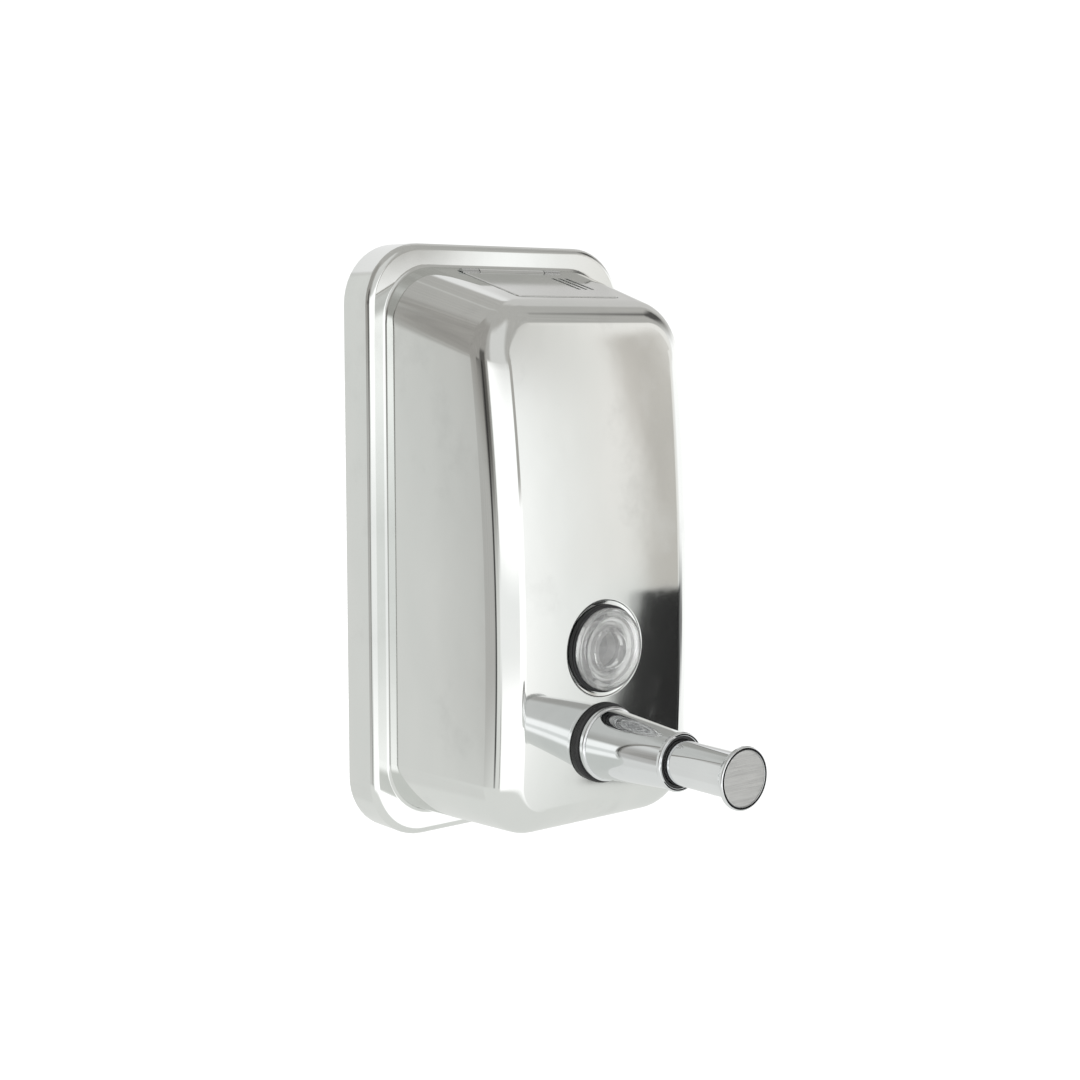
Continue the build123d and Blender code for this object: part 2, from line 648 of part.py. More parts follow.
stop_washer = along_pump(piston_front + 0.05, tail_end, barrel_bore, pump_height)
stop_washer -= along_pump(piston_front - 1, tail_end + 1, bore, pump_height)
save("stop_washer", stop_washer)

# ---- springs and valve balls
save("return_spring", coil(spring_radius, spring_wire, spring_turns, barrel_floor, piston_back, pump_height))

ball_height = sqrt(discharge_ball_radius**2 - valve_hole**2)
ball_depth = seat_depth + ball_height + ball_rest_gap
save("discharge_ball", Pos(0, -ball_depth, pump_height) * Sphere(discharge_ball_radius))

keeper_start = seat_depth + discharge_keeper_gap
spring_keeper = along_pump(keeper_start, keeper_start + keeper_length, rod_bore, pump_height)
spring_keeper -= along_pump(keeper_start - 1, keeper_start + keeper_length + 1, keeper_bore, pump_height)
save("spring_keeper", spring_keeper)
save("discharge_spring", coil(discharge_spring_radius, discharge_spring_wire, discharge_spring_turns,
                              ball_depth + discharge_ball_radius * 0.72, keeper_start, pump_height))

seat_top = boss_foot + inlet_seat_thick
inlet_seat = upright(0, inlet_depth, boss_foot, seat_top, chamber_radius)
inlet_seat -= upright(0, inlet_depth, boss_foot - 1, seat_top + 1, inlet_seat_hole)
save("inlet_seat", inlet_seat)
inlet_ball_height = seat_top + sqrt(inlet_ball_radius**2 - inlet_seat_hole**2) + ball_rest_gap
save("inlet_ball", Pos(0, -inlet_depth, inlet_ball_height) * Sphere(inlet_ball_radius))

# ---- strainer pressed on the boss, its slots just above the tank floor
inlet_strainer = upright(0, inlet_depth, strainer_foot, boss_foot + strainer_grip, strainer_radius)
inlet_strainer -= upright(0, inlet_depth, boss_foot, boss_foot + strainer_grip + 1, boss_radius)
inlet_strainer -= upright(0, inlet_depth, strainer_foot - 1, boss_foot + 1, strainer_bore)
for i in range(strainer_slots):
    bar = Box(4 * strainer_radius, strainer_slot_width, 2 * strainer_slot_height)
    inlet_strainer -= Pos(0, -inlet_depth, strainer_foot) * Rot(0, 0, 180 * i / strainer_slots) * bar
save("inlet_strainer", inlet_strainer)

print("tank holds", round(hollow.volume / 1e6, 2), "litres, gross")
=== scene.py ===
import math

import bpy
import numpy as np
from mathutils import Matrix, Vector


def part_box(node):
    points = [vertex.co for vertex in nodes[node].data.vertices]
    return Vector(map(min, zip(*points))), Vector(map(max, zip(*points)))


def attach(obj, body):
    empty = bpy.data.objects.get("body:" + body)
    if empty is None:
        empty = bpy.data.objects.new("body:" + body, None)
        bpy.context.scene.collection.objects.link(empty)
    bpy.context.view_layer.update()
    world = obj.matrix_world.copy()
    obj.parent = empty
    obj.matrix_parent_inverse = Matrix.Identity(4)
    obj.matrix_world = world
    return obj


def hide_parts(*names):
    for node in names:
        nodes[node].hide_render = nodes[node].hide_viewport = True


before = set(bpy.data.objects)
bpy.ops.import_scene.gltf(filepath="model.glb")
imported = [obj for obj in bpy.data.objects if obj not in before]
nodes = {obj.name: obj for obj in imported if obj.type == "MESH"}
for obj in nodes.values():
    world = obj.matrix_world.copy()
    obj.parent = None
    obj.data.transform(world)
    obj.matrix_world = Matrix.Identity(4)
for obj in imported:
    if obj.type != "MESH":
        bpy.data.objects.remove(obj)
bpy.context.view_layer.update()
mm = 0.001
print("frame loaded:", len(nodes), "CAD nodes")


# ---------- camera: level with the top of the dispenser, well round to its left
camera = {
    "place": (-402.4, -526.0, 73.1),  # mm
    "yaw": 39.42,                     # degrees towards +X from straight ahead
    "pitch": 6.52,                    # degrees down
    "lens": 61.16,                    # mm on a 36 mm sensor
}


def makeCamera():
    data = bpy.data.cameras.new("camera")
    data.lens = camera["lens"]
    data.sensor_width = 36
    data.clip_start = 0.01
    data.clip_end = 80
    cam = bpy.data.objects.new("camera", data)
    bpy.context.scene.collection.objects.link(cam)
    yaw = math.radians(camera["yaw"])
    pitch = math.radians(camera["pitch"])
    ahead = np.array([math.sin(yaw) * math.cos(pitch), math.cos(yaw) * math.cos(pitch), -math.sin(pitch)])
    right = np.array([math.cos(yaw), -math.sin(yaw), 0.0])
    turn = np.eye(4)
    turn[:3, 0] = right
    turn[:3, 1] = np.cross(right, ahead)
    turn[:3, 2] = -ahead
    turn[:3, 3] = np.array(camera["place"]) * mm
    cam.matrix_world = Matrix(turn.tolist())
    bpy.context.scene.camera = cam


makeCamera()
print("camera placed")


# ---------- making pieces: surfaces come as whole arrays of points, normals and faces, in mm
def addPiece(name, points, normals, faces, body, replaced):
    # normals hold one direction for every corner of every face, so mirror-bright curves stay true
    mesh = bpy.data.meshes.new(name)
    mesh.from_pydata((points * mm).tolist(), [], [face for group in faces for face in group.tolist()])
    mesh.shade_smooth()
    mesh.normals_split_custom_set(normals.tolist())
    piece = bpy.data.objects.new(name, mesh)
    bpy.context.scene.collection.objects.link(piece)
    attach(piece, body)
    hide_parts(*replaced)
    return piece


def quadsOf(index, closed=False):
    # the quads of a grid of point numbers; closed joins its last column to its first
    if closed:
        index = np.concatenate([index, index[:, :1]], axis=1)
    return np.stack([index[:-1, :-1], index[:-1, 1:], index[1:, 1:], index[1:, :-1]], axis=-1)


def dot(a, b):
    return (a * b).sum(-1)


# ---------- the drawn tank, as a distance in mm from its skin with the direction out of it
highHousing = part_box("housing")[1]
tank = {
    "halfWidth": highHousing.x / mm,
    "halfHeight": highHousing.z / mm,
    "sheet": 1.0,
    "rimDepth": 15.0,
    "rimCorner": 21.0,
    "rimEdge": 2.5,
    "sideStep": 6.4,
    "topStep": 8.0,
    "bottomStep": 8.5,
    "stepFillet": 1.2,
    "frontDepth": 70.7,
    "frontFullHeight": -33.5,
    "frontRadius": 740.0,
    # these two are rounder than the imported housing's 14 and 8; the lid then cuts into the shell at its opening
    "bodyCorner": 19.0,
    "frontEdge": 10.0,
    "sideDraft": 7.1,   # degrees
    "topSlope": 15.5,   # degrees
    "across": 40,       # cells along each straight side, upright side and rounded corner
    "upright": 72,
    "corner": 12,
    "lidHalf": 22.45,   # filler opening, along the slope from the hinge axis
    "lidFront": -33.65,
    "lidRear": 1.95,
    "lidCorner": 1.5,
    "lidCells": 16,      # half the cells given to the opening, across
    "hingeDepth": 20.2,
    "landRadius": 16.2,  # flat pressed round the window
    "landSink": 0.35,
    "windowHole": 8.1,
    "pumpHole": 10.3,
    "holeHalf": 19.5,    # half width of the blocks of the front that hold the two holes
}
draft = math.radians(tank["sideDraft"])
slope = math.radians(tank["topSlope"])
bodyHalf = tank["halfWidth"] - tank["sideStep"]
bodyTop = tank["halfHeight"] - tank["topStep"]
bodyBottom = -tank["halfHeight"] + tank["bottomStep"]
windowHeight = (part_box("window_lens")[0].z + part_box("window_lens")[1].z) / 2 / mm
pumpHeight = (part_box("pump_sleeve")[0].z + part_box("pump_sleeve")[1].z) / 2 / mm


def frontAt(z):
    # depth of the arched front at height z
    rise = z - tank["frontFullHeight"]
    return tank["frontDepth"] - tank["frontRadius"] + np.sqrt(tank["frontRadius"]**2 - rise**2)


def direction(x, y, z):
    return np.stack(np.broadcast_arrays(x, y, z), axis=-1).astype(float)


def roundJoin(q1, n1, q2, n2, radius, sign=1.0):
    # a ball of the radius rolled along the edge where two skins meet; sign -1 rolls it in a hollow
    c = np.clip(dot(n1, n2), -0.95, 0.95)
    a = radius + sign * q1
    b = radius + sign * q2
    across = (a - c * b) / (1 - c * c)
    along = (b - c * a) / (1 - c * c)
    both = (across > 0) & (along > 0) & (a < 2.5 * radius) & (b < 2.5 * radius)
    if sign > 0:
        both = (across > 0) & (along > 0)
    u = np.where(both, across, 0.0)
    v = np.where(both, along, 0.0)
    length = np.sqrt(np.maximum(u * u + v * v + 2 * c * u * v, 1e-12))
    rolled = (u[..., None] * n1 + v[..., None] * n2) / length[..., None]
    first = q1 > q2 if sign > 0 else q1 < q2
    q = np.where(both, sign * (length - radius), np.where(first, q1, q2))
    n = np.where(both[..., None], rolled, np.where(first[..., None], n1, n2))
    return q, n


def rimSkin(p):
    # rounded rectangle with a rounded front edge
    x, depth, z = p[..., 0], -p[..., 1], p[..., 2]
    ax = np.abs(x) - tank["halfWidth"] + tank["rimCorner"]
    az = np.abs(z) - tank["halfHeight"] + tank["rimCorner"]
    bx, bz = np.maximum(ax, 0), np.maximum(az, 0)
    far = np.hypot(bx, bz)
    q = np.where(far > 0, far, np.maximum(ax, az)) - tank["rimCorner"]
    safe = np.maximum(far, 1e-9)
    beside = (ax > az) * 1.0
    n = np.where((far > 0)[..., None], direction(np.sign(x) * bx / safe, 0 * x, np.sign(z) * bz / safe),
                 direction(np.sign(x) * beside, 0 * x, np.sign(z) * (1 - beside)))
    return roundJoin(q, n, depth - tank["rimDepth"], direction(0 * x, -1, 0 * x), tank["rimEdge"])


def bodySkin(p):
    # leaning sides, sloped top and flat bottom rounded together, then rounded into the arched front
    x, depth, z = p[..., 0], -p[..., 1], p[..., 2]
    side = np.where(x < 0, -1.0, 1.0)
    reach = depth - tank["rimDepth"]
    qSide = (np.abs(x) - bodyHalf + reach * math.tan(draft)) * math.cos(draft)
    nSide = direction(side * math.cos(draft), -math.sin(draft), 0 * x)
    qTop = (z - bodyTop + reach * math.tan(slope)) * math.cos(slope)
    upper = z > 0
    qEnd = np.where(upper, qTop, bodyBottom - z)
    nTop = direction(0 * x, -math.sin(slope), math.cos(slope))
    nEnd = np.where(upper[..., None], nTop, direction(0 * x, 0, -1))
    q, n = roundJoin(qSide, nSide, qEnd, nEnd, tank["bodyCorner"])
    fromCentre = depth - tank["frontDepth"] + tank["frontRadius"]
    rise = z - tank["frontFullHeight"]
    far = np.hypot(fromCentre, rise)
    return roundJoin(q, n, far - tank["frontRadius"], direction(0 * x, -fromCentre / far, rise / far),
                     tank["frontEdge"])


def tankSkin(p):
    # rim and body joined by a hollow fillet
    return roundJoin(*rimSkin(p), *bodySkin(p), tank["stepFillet"], -1.0)


def outlineColumns():
    # once round from the left end of the bottom edge: each column's share of the straight runs and corners
    s = np.arange(tank["across"]) / tank["across"]
    t = np.arange(tank["upright"]) / tank["upright"]
    a = np.arange(tank["corner"]) / tank["corner"] * math.pi / 2
    runX = [2 * s - 1, 0 * a + 1, 0 * t + 1, 0 * a + 1, 1 - 2 * s, 0 * a - 1, 0 * t - 1, 0 * a - 1]
    bendX = [0 * s, np.sin(a), 0 * t + 1, np.cos(a), 0 * s, -np.sin(a), 0 * t - 1, -np.cos(a)]
    runZ = [0 * s, 0 * a, t, 0 * a + 1, 0 * s + 1, 0 * a + 1, 1 - t, 0 * a]
    bendZ = [0 * s - 1, -np.cos(a), 0 * t, np.sin(a), 0 * s + 1, np.cos(a), 0 * t, -np.sin(a)]
    return [np.concatenate(part) for part in (runX, bendX, runZ, bendZ)]


runX, bendX, runZ, bendZ = outlineColumns()


def ringAt(depth, inset, onBody):
    # rounded rectangle of the rim or the body at one depth for each column, set in by inset
    if onBody:
        reach = depth - tank["rimDepth"]
        half = bodyHalf - inset - reach * math.tan(draft)
        top = bodyTop - inset - reach * math.tan(slope)
        bottom = bodyBottom + inset
        corner = tank["bodyCorner"] - inset
    else:
        half = tank["halfWidth"] - inset
        top = tank["halfHeight"] - inset
        bottom = -top
        corner = tank["rimCorner"] - inset
    x = (half - corner) * runX + corner * bendX
    z = bottom + corner + (top - bottom - 2 * corner) * runZ + corner * bendZ
    return np.stack([x, 0 * x - depth, z], -1)


def tankRows():
    # rows from the wall to the border of the front face, and the rows where the body's run starts and ends
    quarter = np.linspace(0, math.pi / 2, 9)[1:]
    edge, hollow, nose, rim = tank["rimEdge"], tank["stepFillet"], tank["frontEdge"], tank["rimDepth"]
    rows = [ringAt(depth, 0, False) for depth in np.linspace(0, rim - edge, 7)]
    rows += [ringAt(rim - edge + edge * math.sin(a), edge - edge * math.cos(a), False) for a in quarter]
    lip, foot = rows[-1], ringAt(rim, -hollow, True)
    rows += [lip * (1 - t) + foot * t for t in (0.33, 0.67, 1.0)]
    rows += [ringAt(rim + hollow - hollow * math.cos(a), hollow * math.sin(a) - hollow, True) for a in quarter]
    runStart = len(rows) - 1
    noseDepth = tank["frontDepth"] - nose + 0 * runX
    for _ in range(6):
        noseDepth = frontAt(ringAt(noseDepth, 0, True)[:, 2]) - nose
    start = rim + hollow
    rows += [ringAt(start + (noseDepth - start) * t, 0, True) for t in np.linspace(0, 1, 27)[1:]]
    runEnd = len(rows) - 1
    rows += [ringAt(noseDepth + nose * math.sin(a), nose - nose * math.cos(a), True)
             for a in np.linspace(0, math.pi / 2, 15)[1:]]
    return np.stack(rows), runStart, runEnd


def frontGrid(border):
    # the front face between its four borders, each point a blend of the borders beside it
    wide = tank["across"] + tank["corner"]
    tall = tank["upright"] + tank["corner"]
    loop = np.roll(np.arange(len(border)), tank["corner"] // 2)
    loop = np.append(loop, loop[0])
    low, right = loop[:wide + 1], loop[wide:wide + tall + 1]
    high, left = loop[wide + tall:2 * wide + tall + 1][::-1], loop[2 * wide + tall:][::-1]
    s = np.linspace(0, 1, wide + 1)[None, :, None]
    t = np.linspace(0, 1, tall + 1)[:, None, None]
    grid = ((1 - t) * border[low][None] + t * border[high][None]
            + (1 - s) * border[left][:, None] + s * border[right][:, None]
            - (1 - s) * (1 - t) * border[low[0]] - s * (1 - t) * border[low[-1]]
            - (1 - s) * t * border[high[0]] - s * t * border[high[-1]])
    return grid, low, right, high, left


def loopOf(index):
    # the border of a block of a grid, once round
    return np.concatenate([index[0, :-1], index[:-1, -1], index[-1, :0:-1], index[:0:-1, 0]])


def blockShares(rows, cols):
    # each border point's place from -1 to 1 across and along a block
    c = np.arange(cols) / cols * 2 - 1
    r = np.arange(rows) / rows * 2 - 1
    across = np.concatenate([c, 0 * r + 1, -c, 0 * r - 1])
    along = np.concatenate([0 * c - 1, r, 0 * c + 1, -r])
    return across, along


def circleRing(centre, radius, near):
    # points on a circle in the front, at the same turn as the points near it
    turn = np.arctan2(near[:, 2] - centre, near[:, 0])
    x, z = radius * np.cos(turn), centre + radius * np.sin(turn)
    return np.stack([x, -frontAt(z), z], -1)


def makeTank():
    rows, runStart, runEnd = tankRows()
    count = rows.shape[1]
    ringIndex = np.arange(rows.shape[0] * count).reshape(-1, count)
    grid, low, right, high, left = frontGrid(rows[-1])
    start = ringIndex.size
    gridIndex = np.zeros(grid.shape[:2], int)
    gridIndex[1:-1, 1:-1] = start + np.arange((grid.shape[0] - 2) * (grid.shape[1] - 2)).reshape(
        grid.shape[0] - 2, -1)
    gridIndex[0], gridIndex[-1] = ringIndex[-1, low], ringIndex[-1, high]
    gridIndex[:, 0], gridIndex[:, -1] = ringIndex[-1, left], ringIndex[-1, right]
    points = np.concatenate([rows.reshape(-1, 3), grid[1:-1, 1:-1].reshape(-1, 3)])
    points[start:, 1] = -frontAt(points[start:, 2])
    for _ in range(6):
        q, n = tankSkin(points)
        points = points - q[:, None] * n
    normals = tankSkin(points)[1]
    pool, ways, borders = [points], [normals], []

    def hold(ring, n):
        first = sum(len(part) for part in pool)
        pool.append(ring)
        ways.append(np.broadcast_to(n, ring.shape).astype(float))
        return first + np.arange(len(ring))

    def fill(block, rings):
        # quads from a block's border through rings to a hole, whose last ring is kept as a border
        loop = loopOf(block)
        stack = [loop] + [hold(*ring) for ring in rings]
        borders.append(stack[-1])
        return quadsOf(np.stack(stack), closed=True).reshape(-1, 4)

    def skin(ring):
        for _ in range(3):
            q, n = tankSkin(ring)
            ring = ring - q[:, None] * n
        return ring, tankSkin(ring)[1]

    def nearest(values, target):
        return int(np.argmin(np.abs(values - target)))

    # filler opening, in the top's run of cells
    middle = tank["across"] + 2 * tank["corner"] + tank["upright"] + tank["across"] // 2
    firstCol, lastCol = middle - tank["lidCells"], middle + tank["lidCells"]
    block = ringIndex[runStart:runEnd + 1, firstCol:lastCol + 1]
    across, along = blockShares(block.shape[0] - 1, block.shape[1] - 1)
    long = (tank["lidRear"] - tank["lidFront"]) / 2
    u, v = across * tank["lidHalf"], along * long
    cornerU = np.abs(u) - tank["lidHalf"] + tank["lidCorner"]
    cornerV = np.abs(v) - long + tank["lidCorner"]
    inCorner = (cornerU > 0) & (cornerV > 0)
    shrink = np.where(inCorner, tank["lidCorner"] / np.maximum(np.hypot(cornerU, cornerV), 1e-6), 1.0)
    u = np.where(inCorner, np.sign(u) * (tank["lidHalf"] - tank["lidCorner"] + cornerU * shrink), u)
    v = np.where(inCorner, np.sign(v) * (long - tank["lidCorner"] + cornerV * shrink), v)
    run = (tank["lidRear"] + tank["lidFront"]) / 2 - v
    depth = tank["hingeDepth"] - run * math.cos(slope)
    mouth = np.stack([-u, -depth, bodyTop - (depth - tank["rimDepth"]) * math.tan(slope)], -1)
    border = points[loopOf(block)]
    mouthWays = direction(0 * u, -math.sin(slope), math.cos(slope))
    faces = [fill(block, [skin(border * 0.5 + mouth * 0.5), (mouth, mouthWays)])]
    keep = quadsOf(ringIndex, closed=True)
    mask = np.ones(keep.shape[:2], bool)
    mask[runStart:runEnd, firstCol:lastCol] = False
    faces.append(keep[mask])

    # window and pump holes, in the front
    zs = points[gridIndex[:, grid.shape[1] // 2], 2]
    xs = points[gridIndex[nearest(zs, windowHeight)], 0]
    between = nearest(zs, (windowHeight - tank["landRadius"] + pumpHeight + tank["pumpHole"]) / 2)
    top = nearest(zs, windowHeight + tank["landRadius"] + 3)
    bottom = nearest(zs, pumpHeight - tank["pumpHole"] - 4.5)
    firstCol, lastCol = nearest(xs, -tank["holeHalf"]), nearest(xs, tank["holeHalf"])
    block = gridIndex[between:top + 1, firstCol:lastCol + 1]
    border = points[loopOf(block)]
    outer = circleRing(windowHeight, tank["landRadius"] + 0.6, border)
    rings = [skin(border * (1 - t) + outer * t) for t in (0.35, 0.7, 1.0)]
    turn = np.arctan2(border[:, 2] - windowHeight, border[:, 0])
    inward = direction(-np.cos(turn), 0, -np.sin(turn))
    land = -float(frontAt(windowHeight)) + tank["landSink"]
    for extra, sink, lean in ((0.42, 0.0, 0.1), (0.3, 0.05, 0.5), (0.15, 0.5, 1.0), (0.0, 0.95, 0.5),
                              (-0.12, 1.0, 0.1), (-2.0, 1.0, 0.0)):
        ring = circleRing(windowHeight, tank["landRadius"] + extra, border)
        ring[:, 1] = ring[:, 1] * (1 - sink) + land * sink
        n = inward * lean + direction(0, -1, 0)
        rings.append((ring, n / np.linalg.norm(n, axis=-1, keepdims=True)))
    for radius in (11.0, tank["windowHole"]):
        ring = circleRing(windowHeight, radius, border)
        ring[:, 1] = land
        rings.append((ring, direction(0, -1, 0)))
    faces.append(fill(block, rings))
    block = gridIndex[bottom:between + 1, firstCol:lastCol + 1]
    border = points[loopOf(block)]
    hole = circleRing(pumpHeight, tank["pumpHole"], border)
    faces.append(fill(block, [skin(border * (1 - t) + hole * t) for t in (0.3, 0.6, 0.85, 1.0)]))
    keep = quadsOf(gridIndex)
    mask = np.ones(keep.shape[:2], bool)
    mask[bottom:top, firstCol:lastCol] = False
    faces.append(keep[mask])

    # inside skin one sheet in, and the cut edges between
    outside = np.concatenate(pool)
    out = np.concatenate(ways)
    outerFaces = np.concatenate(faces)
    innerFaces = outerFaces[:, ::-1] + len(outside)
    borders.append(ringIndex[0, ::-1])
    edges = []
    for ring in borders:
        after = np.roll(ring, -1)
        edges.append(np.stack([ring, after, after + len(outside), ring + len(outside)], -1))
    edges = np.concatenate(edges)
    allPoints = np.concatenate([outside, outside - out * tank["sheet"]])
    allPoints[:, 1] = np.minimum(allPoints[:, 1], 0)
    a, b, c = (allPoints[edges[:, k]] for k in (0, 1, 2))
    flat = np.cross(b - a, c - b)
    flat /= np.maximum(np.linalg.norm(flat, axis=-1, keepdims=True), 1e-9)
    corners = np.concatenate([out[outerFaces].reshape(-1, 3), -out[innerFaces - len(outside)].reshape(-1, 3),
                              np.repeat(flat, 4, axis=0)])
    used, faces = np.unique(np.concatenate([outerFaces, innerFaces, edges]), return_inverse=True)
    return addPiece("tankShell", allPoints[used], corners, [faces.reshape(-1, 4)], "tank",
                    ["housing"])


tankShell = makeTank()
print("tank shell:", len(tankShell.data.polygons), "faces")


# ---------- turned pieces: a section of straight runs and round corners, spun about an axis square to the wall
spin = {
    "columns": 144,
    "bend": 6,       # steps round each corner of a section
}


def sectionPath(corners, closed):
    # corners are (depth, radius from the axis, rounding); gives points and the directions out of them
    spots = np.array([corner[:2] for corner in corners], float)
    rounding = np.array([corner[2] for corner in corners], float)
    before = np.roll(spots, 1, axis=0)
    after = np.roll(spots, -1, axis=0)
    arrive = spots - before
    leave = after - spots
    if not closed:
        arrive[0] = leave[0]
        leave[-1] = arrive[-1]
    arrive /= np.linalg.norm(arrive, axis=1, keepdims=True)
    leave /= np.linalg.norm(leave, axis=1, keepdims=True)
    turn = np.arctan2(arrive[:, 0] * leave[:, 1] - arrive[:, 1] * leave[:, 0], dot(arrive, leave))
    tangent = rounding * np.abs(np.tan(turn / 2))
    side = np.stack([-arrive[:, 1], arrive[:, 0]], 1) * np.sign(turn)[:, None]
    centre = spots - arrive * tangent[:, None] + side * rounding[:, None]
    share = np.linspace(0, 1, spin["bend"] + 1)[None, :]
    angle = turn[:, None] * np.where(rounding[:, None] < 0.001, 0.5, share)
    outward = np.stack([-arrive[:, 1], arrive[:, 0]], 1)
    cos, sin = np.cos(angle), np.sin(angle)
    n = np.stack([outward[:, 0, None] * cos - outward[:, 1, None] * sin,
                  outward[:, 0, None] * sin + outward[:, 1, None] * cos], -1)
    path = centre[:, None] - n * (np.sign(turn) * rounding)[:, None, None]
    path, n = path.reshape(-1, 2), n.reshape(-1, 2)
    fresh = np.append(True, np.linalg.norm(np.diff(path, axis=0), axis=1) > 1e-5)
    if closed and np.linalg.norm(path[0] - path[-1]) < 1e-5:
        fresh[0] = False
    return path[fresh], n[fresh]


def turnedSurface(path, ways, height, closed):
    # every section point carried once round the axis; ends on the axis close in one pole point
    a = np.arange(spin["columns"]) / spin["columns"] * 2 * math.pi
    depth, radius = path[:, :1], path[:, 1:]
    points = np.stack([radius * np.cos(a), -depth + 0 * a, height + radius * np.sin(a)], -1)
    normals = np.stack([ways[:, 1:] * np.cos(a), -ways[:, :1] + 0 * a, ways[:, 1:] * np.sin(a)], -1)
    index = np.arange(points.shape[0] * spin["columns"]).reshape(points.shape[0], -1)
    if closed:
        index = np.concatenate([index, index[:1]])
    return points.reshape(-1, 3), normals.reshape(-1, 3), index


def turnedPiece(name, corners, height, body, replaced, closed=True):
    path, ways = sectionPath(corners, closed)
    points, normals, index = turnedSurface(path, ways, height, closed)
    quads = quadsOf(index, closed=True).reshape(-1, 4)
    faces = [quads]
    if not closed:
        poles = [row for row in (0, len(path) - 1) if path[row, 1] < 1e-4]
        faces = [quadsOf(index[1:-1], closed=True).reshape(-1, 4)]
        for row in poles:
            ring = index[1] if row == 0 else index[-2]
            hub = np.full_like(ring, index[row, 0])
            after = np.roll(ring, -1)
            faces.append(np.stack([ring, after, hub] if row else [after, ring, hub], -1))
    used = np.unique(np.concatenate([group.ravel() for group in faces]))
    faces = [np.searchsorted(used, group) for group in faces]
    points, normals = points[used], normals[used]
    corners = np.concatenate([normals[group].reshape(-1, 3) for group in faces])
    return addPiece(name, points, corners, faces, body, replaced)


def arcSection(centre, radius, start, end, steps):
    # points of a round run of a section, from one angle to another about a centre on the axis
    a = np.linspace(start, end, steps)
    return [(centre + radius * math.cos(t), radius * math.sin(t), 0.0001) for t in a]


window = {
    "gasketBore": 13.6,
    "gasketOuter": 14.8,
    "gasketFront": 1.1,    # in front of the face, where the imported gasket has 2.0
    "groove": 0.35,        # waist round the gasket's edge
    "plug": 13.5,
    "rimRadius": 13.9,
    "rimThick": 2.1,
    "domeFoot": 13.0,
    "domeRise": 6.8,
    "domeWall": 1.6,
    "neckOuter": 7.8,
    "neckInner": 6.0,
    "neckLength": 12.1,    # behind the lens's rim
    "neckLip": 0.7,        # neck's front edge stands this far into the dome
}


def makeWindow():
    w = window
    face = float(frontAt(windowHeight))
    land = face - tank["landSink"]
    back = face + w["gasketFront"]
    middle = (land + back) / 2
    turnedPiece("windowGasket", [
        (land, w["gasketBore"], 0.1), (land, w["gasketOuter"], 0.15),
        (middle - 0.25, w["gasketOuter"], 0.12), (middle, w["gasketOuter"] - w["groove"], 0.1),
        (middle + 0.25, w["gasketOuter"], 0.12), (back, w["gasketOuter"], 0.6), (back, w["gasketBore"], 0.1),
    ], windowHeight, "tank", ["window_gasket"])
    front = back + w["rimThick"]
    ball = (w["domeFoot"]**2 + w["domeRise"]**2) / (2 * w["domeRise"])
    centre = front + w["domeRise"] - ball
    hollow = ball - w["domeWall"]
    foot = math.acos((front - centre) / ball)
    innerFoot = math.acos((front - centre) / hollow)
    neckBack = back - w["neckLength"]
    lip = front + w["neckLip"]
    section = arcSection(centre, hollow, 0.0, innerFoot - 0.02, 36)
    section += [
        (front, w["neckOuter"] + 1.2, 0.4), (front + 0.05, w["neckOuter"], 0.2),
        (lip, w["neckOuter"] - 0.3, 0.3), (lip, w["neckInner"], 0.3),
        (neckBack, w["neckInner"], 0.15), (neckBack, w["neckOuter"], 0.2), (land + 0.05, w["neckOuter"], 0.1),
        (land + 0.05, w["plug"], 0.1), (back, w["plug"], 0.05), (back, w["rimRadius"], 0.2),
        (front, w["rimRadius"], 0.5), (front, w["domeFoot"] + 0.05, 0.05),
    ]
    section += arcSection(centre, ball, foot - 0.01, 0.0, 44)
    turnedPiece("windowLens", section, windowHeight, "tank", ["window_lens"], False)


makeWindow()
print("sight window made")


pump = {
    "gasketRadius": 13.6,
    "gasketFront": 2.0,     # in front of the face
    "gasketBack": 0.8,      # behind it, in the hollow of the arched front
    "collarRadius": 12.7,
    "collarThick": 2.4,
    "root": 11.9,
    "tail": 10.0,
    "tailLength": 12.0,
    "bore": 7.47,
    "endRadius": 9.3,
    "bead": 9.8,
    "beadLength": 1.6,
    "wiper": 8.6,
    "wiperLength": 2.4,
    "length": 38.0,
    "rod": 7.4,
    "rodBore": 3.0,
    "spigot": 5.0,
    "capRadius": 10.2,
    "capThick": 4.2,
    "capFlare": 3.0,
    "disc": 8.9,
    "discThick": 1.0,
    "discSink": 0.15,
    "nozzle": 2.3,
    "nozzleSetback": 7.0,
}


